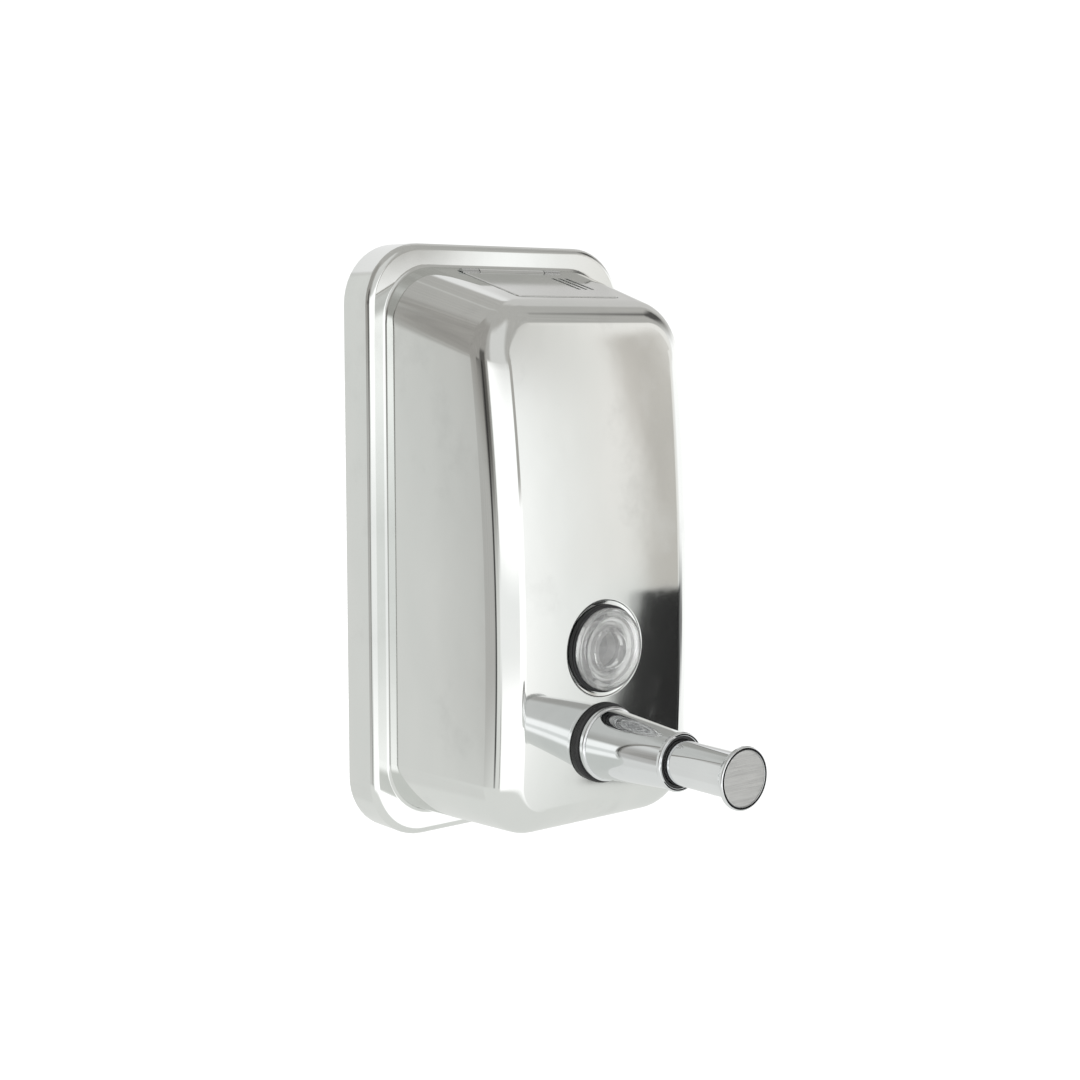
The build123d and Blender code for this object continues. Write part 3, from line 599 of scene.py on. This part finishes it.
def makeSleeve():
    # the clamped sleeve: gasket, collar, cone and beaded end, with the rubber wiper inside its mouth
    p = pump
    face = float(frontAt(pumpHeight))
    start = face + p["gasketFront"]
    collar = start + p["collarThick"]
    end = face + p["length"]
    tailEnd = face - p["tailLength"]
    bead = end - p["beadLength"]
    wiper = end - p["wiperLength"]
    turnedPiece("pumpGasket", [
        (face - p["gasketBack"], p["tail"] + 0.02, 0.1), (face - p["gasketBack"], p["gasketRadius"], 0.1),
        (face + 0.75, p["gasketRadius"], 0.12), (face + 1.0, p["gasketRadius"] - 0.3, 0.1),
        (face + 1.25, p["gasketRadius"], 0.12), (start, p["gasketRadius"], 0.6), (start, p["tail"] + 0.02, 0.1),
    ], pumpHeight, "tank", ["pump_gasket"])
    turnedPiece("pumpSleeve", [
        (tailEnd, p["bore"], 0.1), (tailEnd, p["tail"], 0.4), (start, p["tail"], 0.05),
        (start, p["collarRadius"], 0.3), (collar, p["collarRadius"], 0.75), (collar, p["root"], 0.15),
        (bead, p["endRadius"], 0.15), (bead, p["bead"], 0.4), (end, p["bead"], 0.55), (end, p["wiper"], 0.2),
        (wiper, p["wiper"], 0.1), (wiper, p["bore"], 0.1),
    ], pumpHeight, "tank", ["pump_sleeve"])
    turnedPiece("sleeveWiper", [
        (wiper, p["bore"], 0.05), (wiper, p["wiper"] - 0.02, 0.05), (end - 0.45, p["wiper"] - 0.02, 0.15),
        (end - 0.45, p["bore"] + 0.75, 0.1), (end - 0.3, p["bore"] + 0.25, 0.12), (end - 0.6, p["bore"], 0.1),
    ], pumpHeight, "tank", ["sleeve_wiper"])


def makeRod():
    # hollow rod with its flared cap, and the outlet hole under it
    p = pump
    low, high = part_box("push_rod")
    capEnd, seat = -low.y / mm, -high.y / mm
    shoulder = -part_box("piston")[0].y / mm
    capBack = capEnd - p["capThick"]
    hole = capBack - p["nozzleSetback"]
    recess = capEnd - p["discThick"]
    boreEnd = hole + p["nozzle"] + 0.7
    around = [(depth, p["rod"], 0.0) for depth in np.linspace(hole - 3.5, hole + 3.5, 15)]
    path, ways = sectionPath([
        (boreEnd, 0.0, 0.0), (boreEnd, p["rodBore"], 0.2), (seat, p["rodBore"], 0.1), (seat, p["spigot"], 0.3),
        (shoulder, p["spigot"], 0.1), (shoulder, p["rod"], 0.3), *around, (capBack, p["rod"], 0.8),
        (capBack + p["capFlare"], p["capRadius"], 0.8), (capEnd, p["capRadius"], 0.5),
        (capEnd, p["disc"], 0.12), (recess, p["disc"], 0.12), (recess, 0.0, 0.0),
    ], False)
    points, normals, index = turnedSurface(path, ways, pumpHeight, False)
    below = spin["columns"] * 3 // 4
    cols = slice(below - 11, below + 12)
    straight = np.abs(path[:, 1] - p["rod"]) < 1e-3
    rows = np.flatnonzero(straight & (np.abs(path[:, 0] - hole) < 3.6))
    block = index[rows[0]:rows[-1] + 1, cols]
    border = points[loopOf(block)]
    turn = np.arctan2(-border[:, 1] - hole, border[:, 0])
    cos, sin = np.cos(turn), np.sin(turn)
    stack, allPoints, allNormals = [loopOf(block)], [points], [normals]
    toAxis = direction(-cos, sin, 0 * cos)
    for radius, lift, lean in ((p["nozzle"] + 0.5, 0.0, 0.0), (p["nozzle"] + 0.2, 0.0, 0.1),
                               (p["nozzle"] + 0.05, 0.06, 0.7), (p["nozzle"], 0.25, 1.0),
                               (p["nozzle"], 4.2, 1.0), (p["nozzle"] * 0.5, 4.2, 0.0)):
        x = radius * cos
        ring = direction(x, -hole - radius * sin, pumpHeight - np.sqrt(p["rod"]**2 - x**2) + lift)
        skinWay = direction(x / p["rod"], 0 * x, -np.sqrt(1 - (x / p["rod"])**2))
        stack.append(sum(len(part) for part in allPoints) + np.arange(len(x)))
        allPoints.append(ring)
        allNormals.append(skinWay * (1 - lean) + toAxis * lean)
    hub = sum(len(part) for part in allPoints)
    allPoints.append(np.array([[0, -hole, pumpHeight - p["rod"] + 4.2]]))
    allNormals.append(np.array([[0, 0, -1.0]]))
    points, normals = np.concatenate(allPoints), np.concatenate(allNormals)
    normals /= np.linalg.norm(normals, axis=1, keepdims=True)
    body = quadsOf(index[1:-1], closed=True)
    keep = np.ones(body.shape[:2], bool)
    keep[rows[0] - 1:rows[-1] - 1, cols.start:cols.stop - 1] = False
    ring = stack[-1]
    fans = [np.stack([ring, np.roll(ring, -1), 0 * ring + hub], -1),
            np.stack([np.roll(index[1], -1), index[1], 0 * index[0] + index[0, 0]], -1),
            np.stack([index[-2], np.roll(index[-2], -1), 0 * index[0] + index[-1, 0]], -1)]
    faces = [body[keep], quadsOf(np.stack(stack), closed=True).reshape(-1, 4), *fans]
    used = np.unique(np.concatenate([group.ravel() for group in faces]))
    corners = np.concatenate([normals[group].reshape(-1, 3) for group in faces])
    faces = [np.searchsorted(used, group) for group in faces]
    addPiece("pushRod", points[used], corners, faces, "plunger", ["push_rod"])
    turnedPiece("buttonDisc", [
        (recess, 0.0, 0.0), (recess, p["disc"] - 0.02, 0.05), (capEnd - p["discSink"], p["disc"] - 0.02, 0.2),
        (capEnd - p["discSink"], 0.0, 0.0)], pumpHeight, "plunger", ["button_disc"], False)


makeSleeve()
makeRod()
print("pump made")


# ---------- finishes: effects shared by several materials are node groups, built once
def newGroup(name, inputs, outputs):
    group = bpy.data.node_groups.new(name, "ShaderNodeTree")
    for label, kind, value in inputs:
        socket = group.interface.new_socket(label, in_out="INPUT", socket_type=kind)
        if value is not None:
            socket.default_value = value
    for label, kind in outputs:
        group.interface.new_socket(label, in_out="OUTPUT", socket_type=kind)
    return group, group.nodes.new("NodeGroupInput"), group.nodes.new("NodeGroupOutput")


def addNode(tree, kind, links=(), **settings):
    # settings name node properties, or inputs where the node has no such property
    node = tree.nodes.new(kind)
    for key, value in settings.items():
        if hasattr(node, key):
            setattr(node, key, value)
        else:
            node.inputs[key].default_value = value
    for source, target in links:
        tree.links.new(source, node.inputs[target])
    return node


def addMath(tree, operation, first, second=None, third=None):
    node = tree.nodes.new("ShaderNodeMath")
    node.operation = operation
    for k, value in enumerate((first, second, third)):
        if value is None:
            continue
        if isinstance(value, (int, float)):
            node.inputs[k].default_value = value
        else:
            tree.links.new(value, node.inputs[k])
    return node.outputs[0]


def addMix(tree, share, first, second):
    node = tree.nodes.new("ShaderNodeMix")
    node.data_type = "RGBA"
    for key, value in ((0, share), (6, first), (7, second)):
        if isinstance(value, (int, float, tuple)):
            node.inputs[key].default_value = value
        else:
            tree.links.new(value, node.inputs[key])
    return node.outputs[2]


def stretched(tree, scale):
    coordinate = tree.nodes.new("ShaderNodeTexCoord").outputs["Object"]
    return addNode(tree, "ShaderNodeMapping", [(coordinate, "Vector")], Scale=scale).outputs["Vector"]


def addNoise(tree, vector, scale, detail=3.0, roughness=0.55):
    kept = [] if isinstance(scale, float) else [(scale, "Scale")]
    node = addNode(tree, "ShaderNodeTexNoise", [(vector, "Vector"), *kept], Detail=detail, Roughness=roughness)
    if not kept:
        node.inputs["Scale"].default_value = scale
    return node.outputs["Fac"]


def ramp(tree, value, low, high, outLow=0.0, outHigh=1.0):
    node = tree.nodes.new("ShaderNodeMapRange")
    node.interpolation_type = "SMOOTHSTEP"
    for key, number in ((1, low), (2, high), (3, outLow), (4, outHigh)):
        node.inputs[key].default_value = number
    tree.links.new(value, node.inputs[0])
    return node.outputs[0]


def makePolishWear():
    # hand-polished sheet: broad soft unevenness, fine wiping scratches and faint finger marks
    group, given, made = newGroup("polishWear", [
        ("Swell", "NodeSocketFloat", 1.0), ("Scratch", "NodeSocketFloat", 1.0), ("Marks", "NodeSocketFloat", 1.0),
        ("Base Roughness", "NodeSocketFloat", 0.05),
    ], [("Roughness", "NodeSocketFloat"), ("Height", "NodeSocketFloat"), ("Tone", "NodeSocketFloat")])
    plain = stretched(group, (1.0, 1.0, 1.0))
    wide = addNoise(group, plain, 16.0, 1.0)
    mid = addNoise(group, plain, 55.0, 2.0)
    wipeA = addNoise(group, stretched(group, (9.0, 9.0, 1.2)), 420.0, 2.0)
    wipeB = addNoise(group, stretched(group, (1.5, 1.5, 10.0)), 380.0, 2.0)
    marks = ramp(group, addNoise(group, plain, 38.0, 5.0, 0.62), 0.54, 0.72)
    scratch = addMath(group, "ADD", ramp(group, wipeA, 0.6, 0.75), ramp(group, wipeB, 0.62, 0.75))
    rough = addMath(group, "MULTIPLY_ADD", marks, addMath(group, "MULTIPLY", given.outputs["Marks"], 0.035),
                    given.outputs["Base Roughness"])
    rough = addMath(group, "MULTIPLY_ADD", scratch, addMath(group, "MULTIPLY", given.outputs["Scratch"], 0.02),
                    rough)
    height = addMath(group, "MULTIPLY_ADD", mid, 0.16, wide)
    height = addMath(group, "MULTIPLY", height, given.outputs["Swell"])
    groove = addMath(group, "MULTIPLY", given.outputs["Scratch"], -0.0012)
    height = addMath(group, "MULTIPLY_ADD", scratch, groove, height)
    tone = addMath(group, "MULTIPLY_ADD", marks, -0.05, 1.0)
    for value, label in ((rough, "Roughness"), (height, "Height"), (tone, "Tone")):
        group.links.new(value, made.inputs[label])
    return group


def makeMouldedGrain():
    # moulded or rolled skin: fine pebble grain over soft cloudy patches, with a mask for dust and rubbed spots
    group, given, made = newGroup("mouldedGrain", [
        ("Scale", "NodeSocketFloat", 900.0), ("Cloud Scale", "NodeSocketFloat", 60.0),
    ], [("Grain", "NodeSocketFloat"), ("Cloud", "NodeSocketFloat")])
    plain = stretched(group, (1.0, 1.0, 1.0))
    group.links.new(addNoise(group, plain, given.outputs["Scale"], 2.0), made.inputs["Grain"])
    group.links.new(ramp(group, addNoise(group, plain, given.outputs["Cloud Scale"], 4.0), 0.35, 0.7),
                    made.inputs["Cloud"])
    return group


polishWear = makePolishWear()
mouldedGrain = makeMouldedGrain()


def startMaterial(name, metallic, roughness, **fixed):
    material = bpy.data.materials.new(name)
    material.use_nodes = True
    tree = material.node_tree
    shader = tree.nodes["Principled BSDF"]
    shader.inputs["Metallic"].default_value = metallic
    shader.inputs["Roughness"].default_value = roughness
    for key, value in fixed.items():
        shader.inputs[key.replace("_", " ")].default_value = value
    return material, tree, shader


def useGroup(tree, group, **values):
    node = tree.nodes.new("ShaderNodeGroup")
    node.node_tree = group
    for key, value in values.items():
        node.inputs[key.replace("_", " ")].default_value = value
    return node.outputs


def addBump(tree, shader, height, distance, strength=1.0):
    bump = addNode(tree, "ShaderNodeBump", [(height, "Height")], Strength=strength, Distance=distance)
    tree.links.new(bump.outputs["Normal"], shader.inputs["Normal"])


brightMetals = {
    # colour, paler colour, base roughness, swell, scratch, marks, bump distance in metres
    "polishedSteel": ((0.79, 0.805, 0.79), (0.85, 0.855, 0.84), 0.045, 1.0, 1.0, 1.0, 0.00009),
    "lidSteel": ((0.78, 0.79, 0.78), (0.83, 0.835, 0.825), 0.10, 1.0, 1.6, 1.2, 0.00008),
    "chromePlate": ((0.80, 0.815, 0.825), (0.86, 0.87, 0.875), 0.03, 0.25, 0.6, 0.8, 0.00005),
    "plainSteel": ((0.62, 0.63, 0.63), (0.70, 0.70, 0.69), 0.26, 0.3, 3.0, 2.0, 0.00008),
}


def makeBrightMetal(name):
    dark, pale, roughness, swell, scratch, marks, distance = brightMetals[name]
    material, tree, shader = startMaterial(name, 1.0, roughness)
    wear = useGroup(tree, polishWear, Swell=swell, Scratch=scratch, Marks=marks, Base_Roughness=roughness)
    tree.links.new(wear["Roughness"], shader.inputs["Roughness"])
    cloud = ramp(tree, addNoise(tree, stretched(tree, (1.0, 1.0, 0.4)), 22.0, 3.0), 0.3, 0.75)
    colour = addMix(tree, cloud, (*dark, 1.0), (*pale, 1.0))
    shade = addNode(tree, "ShaderNodeHueSaturation", [(colour, "Color"), (wear["Tone"], "Value")])
    tree.links.new(shade.outputs["Color"], shader.inputs["Base Color"])
    addBump(tree, shader, wear["Height"], distance)
    return material


def makeBrushedDisc():
    # straight brushing across the push button
    material, tree, shader = startMaterial("brushedDisc", 1.0, 0.34)
    lines = addNoise(tree, stretched(tree, (1.0, 1.0, 60.0)), 70.0, 5.0, 0.7)
    cloud = addNoise(tree, stretched(tree, (1.0, 1.0, 1.0)), 160.0, 2.0)
    streak = ramp(tree, lines, 0.3, 0.7)
    tree.links.new(addMix(tree, streak, (0.57, 0.57, 0.56, 1.0), (0.70, 0.70, 0.685, 1.0)),
                   shader.inputs["Base Color"])
    rough = addMath(tree, "MULTIPLY_ADD", streak, 0.12, addMath(tree, "MULTIPLY_ADD", cloud, 0.08, 0.26))
    tree.links.new(rough, shader.inputs["Roughness"])
    addBump(tree, shader, lines, 0.00002)
    return material


def makeZincPlate():
    # passivated zinc: a faint crystal pattern with yellowish clouds
    material, tree, shader = startMaterial("zincPlate", 1.0, 0.38)
    grain = useGroup(tree, mouldedGrain, Scale=1500.0, Cloud_Scale=40.0)
    cell = addNode(tree, "ShaderNodeTexVoronoi", [(stretched(tree, (1.0, 1.0, 1.0)), "Vector")], Scale=260.0)
    tint = addMix(tree, grain["Cloud"], (0.60, 0.62, 0.65, 1.0), (0.66, 0.65, 0.60, 1.0))
    tree.links.new(tint, shader.inputs["Base Color"])
    rough = addMath(tree, "MULTIPLY_ADD", cell.outputs["Distance"], 0.2, 0.28)
    tree.links.new(rough, shader.inputs["Roughness"])
    addBump(tree, shader, grain["Grain"], 0.00003)
    return material


softSkins = {
    # dark colour, pale colour, roughness, extra roughness of clouds, grain scale, cloud scale, bump distance
    "blackRubber": ((0.012, 0.012, 0.013), (0.03, 0.03, 0.03), 0.42, 0.2, 1400.0, 90.0, 0.00006),
    "whitePlastic": ((0.74, 0.74, 0.71), (0.84, 0.84, 0.82), 0.34, 0.12, 1100.0, 50.0, 0.00004),
    "palePlating": ((0.60, 0.61, 0.61), (0.72, 0.72, 0.71), 0.3, 0.15, 1300.0, 60.0, 0.00002),
    "blackPlastic": ((0.018, 0.018, 0.019), (0.035, 0.035, 0.036), 0.3, 0.15, 1200.0, 80.0, 0.00004),
}


def makeSoftSkin(name):
    dark, pale, roughness, extra, grainScale, cloudScale, distance = softSkins[name]
    material, tree, shader = startMaterial(name, 0.0, roughness)
    grain = useGroup(tree, mouldedGrain, Scale=grainScale, Cloud_Scale=cloudScale)
    tree.links.new(addMix(tree, grain["Cloud"], (*dark, 1.0), (*pale, 1.0)), shader.inputs["Base Color"])
    tree.links.new(addMath(tree, "MULTIPLY_ADD", grain["Cloud"], extra, roughness), shader.inputs["Roughness"])
    addBump(tree, shader, grain["Grain"], distance)
    return material


def makeClearPlastic():
    # clear moulded dome: slight flow lines and wiping marks in an otherwise glassy skin
    material, tree, shader = startMaterial("clearPlastic", 0.0, 0.03, IOR=1.49, Transmission_Weight=0.84)
    wear = useGroup(tree, polishWear, Swell=0.5, Scratch=1.0, Marks=1.0, Base_Roughness=0.012)
    tree.links.new(wear["Roughness"], shader.inputs["Roughness"])
    tree.links.new(addMix(tree, wear["Tone"], (0.90, 0.93, 0.92, 1.0), (0.985, 0.99, 0.985, 1.0)),
                   shader.inputs["Base Color"])
    addBump(tree, shader, wear["Height"], 0.00010)
    return material


materials = {name: makeBrightMetal(name) for name in brightMetals}
materials.update({name: makeSoftSkin(name) for name in softSkins})
materials["brushedDisc"] = makeBrushedDisc()
materials["zincPlate"] = makeZincPlate()
materials["clearPlastic"] = makeClearPlastic()

finishes = {
    "polishedSteel": ["tankShell"],
    "lidSteel": ["lid"],
    "palePlating": ["bolt_guide", "lid_bolt"],
    "plainSteel": ["housing", "tank_back", "hanger_bracket", "filler_frame", "hinge_pin", "locking_screw",
                   "return_spring", "discharge_spring", "spring_keeper", "discharge_ball", "inlet_ball",
                   "stop_washer"],
    "chromePlate": ["pumpSleeve", "pushRod", "pump_sleeve", "push_rod"],
    "brushedDisc": ["buttonDisc", "button_disc"],
    "zincPlate": ["wall_plate"],
    "clearPlastic": ["windowLens", "window_lens"],
    "blackRubber": ["windowGasket", "pumpGasket", "sleeveWiper", "window_gasket", "pump_gasket",
                    "sleeve_wiper", "lid_seal", "window_washer", "pump_washer", "piston_seal"],
    "whitePlastic": ["pump_barrel", "piston", "pump_nut", "window_nut", "inlet_strainer", "inlet_seat"],
    "blackPlastic": ["outlet_nozzle"],
}
for finish, pieceNames in finishes.items():
    for pieceName in pieceNames:
        mesh = bpy.data.objects[pieceName].data
        mesh.materials.clear()
        mesh.materials.append(materials[finish])
left = sorted(set(nodes) - set(sum(finishes.values(), [])))
print("finishes given, nodes without one:", left)


# ---------- studio: a bright soft room, given by what lies in each direction, over a plain pale floor
studio = {
    "behind": 1.08,      # plain white seen straight on
    "fill": 1.25,        # light on everything dull
    "floorDrop": 0.9,    # metres below the dispenser's origin
    "floorSize": 60.0,
}
# centre and half size in degrees (0 faces the front, 90 is the right side), edge softness, brightness, tint
panels = {
    "highWall":     ((0, 52), (181, 42), 14, 0.50, (1.0, 0.985, 0.95)),
    "highFront":    ((-14, 30), (32, 24), 14, 0.74, (1.0, 1.0, 0.985)),
    "leftShade":    ((-97, 30), (36, 34), 12, 0.38, (1.0, 0.97, 0.92)),
    "leftDark":     ((-77, 11), (10, 12), 8, 0.12, (1.0, 0.96, 0.9)),
    "leftSlot":     ((-92, 5), (10, 2.5), 4, 0.2, (1.0, 0.97, 0.92)),
    "leftLow":      ((-106, -8), (24, 6), 7, 0.52, (1.0, 0.99, 0.96)),
    "curtainEdge":  ((-80, -5), (3.2, 12), 5, 0.05, (1.0, 0.97, 0.93)),
    "shelfEdge":    ((-61, -4), (1.0, 15), 1.2, 0.30, (1.0, 0.97, 0.93)),
    "sideWall":     ((-146, 0), (17, 34), 7, 0.76, (0.99, 1.0, 0.975)),
    "window":       ((-9, -6), (48.5, 16.5), 8, 1.35, (1.0, 1.0, 1.0)),
    "windowHaze":   ((-26, -8), (38, 4), 5, 1.0, (0.99, 1.0, 0.995)),
    "doorFrame":    ((31, 8), (6.2, 6.4), 3, 0.48, (1.0, 0.975, 0.93)),
    "rightWall":    ((48, 6), (7.5, 11), 4, 0.92, (1.0, 0.985, 0.955)),
    "rightSlit":    ((44.6, -1), (0.7, 5), 1.0, 0.98, (1.0, 1.0, 1.0)),
    "rightWindow":  ((94, 0), (38, 17), 12, 1.2, (1.0, 1.0, 1.0)),
    "rightPillar":  ((43.4, 3), (0.9, 9), 0.9, 0.60, (1.0, 0.96, 0.9)),
    "cupboard":     ((50, -12.6), (7.8, 6.6), 0.5, 0.03, (1.0, 1.0, 1.0)),
    "cupboardGap":  ((47.2, -12.6), (0.3, 6.2), 0.4, 0.2, (1.0, 1.0, 1.0)),
    "cupboardEnd":  ((60, -8.5), (9, 3), 7, 0.25, (1.0, 1.0, 1.0)),
    "ceilingGap":   ((71, 33), (14, 8), 9, 0.10, (1.0, 0.98, 0.95)),
    "behindRight":  ((118, 40), (22, 26), 12, 0.64, (1.0, 0.99, 0.97)),
    "backdrop":     ((167, 18), (29, 28), 6, 0.88, (1.0, 1.0, 1.0)),
}


def makeStudio():
    world = bpy.data.worlds.new("studio")
    bpy.context.scene.world = world
    world.use_nodes = True
    tree = world.node_tree
    way = tree.nodes.new("ShaderNodeTexCoord").outputs["Generated"]
    parts = addNode(tree, "ShaderNodeSeparateXYZ", [(way, 0)]).outputs
    outward = addMath(tree, "MULTIPLY", parts["Y"], -1.0)
    azimuth = addMath(tree, "DEGREES", addMath(tree, "ARCTAN2", parts["X"], outward))
    elevation = addMath(tree, "DEGREES", addMath(tree, "ARCSINE", parts["Z"]))
    colour = (0.80, 0.81, 0.79, 1.0)
    streak = addNode(tree, "ShaderNodeCombineXYZ", [(azimuth, 0)])
    tree.links.new(addMath(tree, "MULTIPLY", elevation, 0.05), streak.inputs[1])
    streak = ramp(tree, addNoise(tree, streak.outputs[0], 1.6, 4.0), 0.35, 0.7, 0.75, 1.15)
    for (centreAcross, centreUp), (halfAcross, halfUp), edge, glow, tint in panels.values():
        off = addMath(tree, "WRAP", addMath(tree, "SUBTRACT", azimuth, float(centreAcross)), 180.0, -180.0)
        off = addMath(tree, "ABSOLUTE", off)
        across = ramp(tree, off, halfAcross - edge / 2, halfAcross + edge / 2, 1.0, 0.0)
        off = addMath(tree, "ABSOLUTE", addMath(tree, "SUBTRACT", elevation, float(centreUp)))
        along = ramp(tree, off, halfUp - edge / 2, halfUp + edge / 2, 1.0, 0.0)
        mask = addMath(tree, "MULTIPLY", across, along)
        colour = addMix(tree, mask, colour, (*[glow * part for part in tint], 1.0))
    vary = addNode(tree, "ShaderNodeVectorMath", [(colour, 0), (streak, 1)], operation="MULTIPLY").outputs[0]
    dark = ramp(tree, addNode(tree, "ShaderNodeRGBToBW", [(colour, 0)]).outputs[0], 0.1, 0.9, 1.0, 0.0)
    colour = addMix(tree, addMath(tree, "MULTIPLY", dark, 0.8), colour, vary)
    seen = tree.nodes.new("ShaderNodeLightPath").outputs
    fill, behind = ((studio[key],) * 3 + (1.0,) for key in ("fill", "behind"))
    plain = addMix(tree, seen["Is Camera Ray"], fill, behind)
    mirrored = addMath(tree, "MAXIMUM", seen["Is Glossy Ray"], seen["Is Transmission Ray"])
    tree.links.new(addMix(tree, mirrored, plain, colour), tree.nodes["Background"].inputs["Color"])
    tree.nodes["Background"].inputs["Strength"].default_value = 1.0


def makeFloor():
    material, tree, shader = startMaterial("paleFloor", 0.0, 0.9)
    cloud = addNoise(tree, stretched(tree, (1.0, 1.0, 1.0)), 0.8, 2.0)
    tree.links.new(addMix(tree, cloud, (0.93, 0.93, 0.93, 1.0), (0.95, 0.95, 0.95, 1.0)),
                   shader.inputs["Base Color"])
    half = studio["floorSize"] / 2
    mesh = bpy.data.meshes.new("floor")
    corners = [(x * half, y * half, -studio["floorDrop"]) for x, y in ((-1, -1), (1, -1), (1, 1), (-1, 1))]
    mesh.from_pydata(corners, [], [(0, 1, 2, 3)])
    mesh.materials.append(material)
    floor = bpy.data.objects.new("floor", mesh)
    bpy.context.scene.collection.objects.link(floor)
    floor.visible_glossy = False
    floor.visible_transmission = False


makeStudio()
makeFloor()
bpy.context.scene.view_settings.view_transform = "Standard"
print("studio lit")
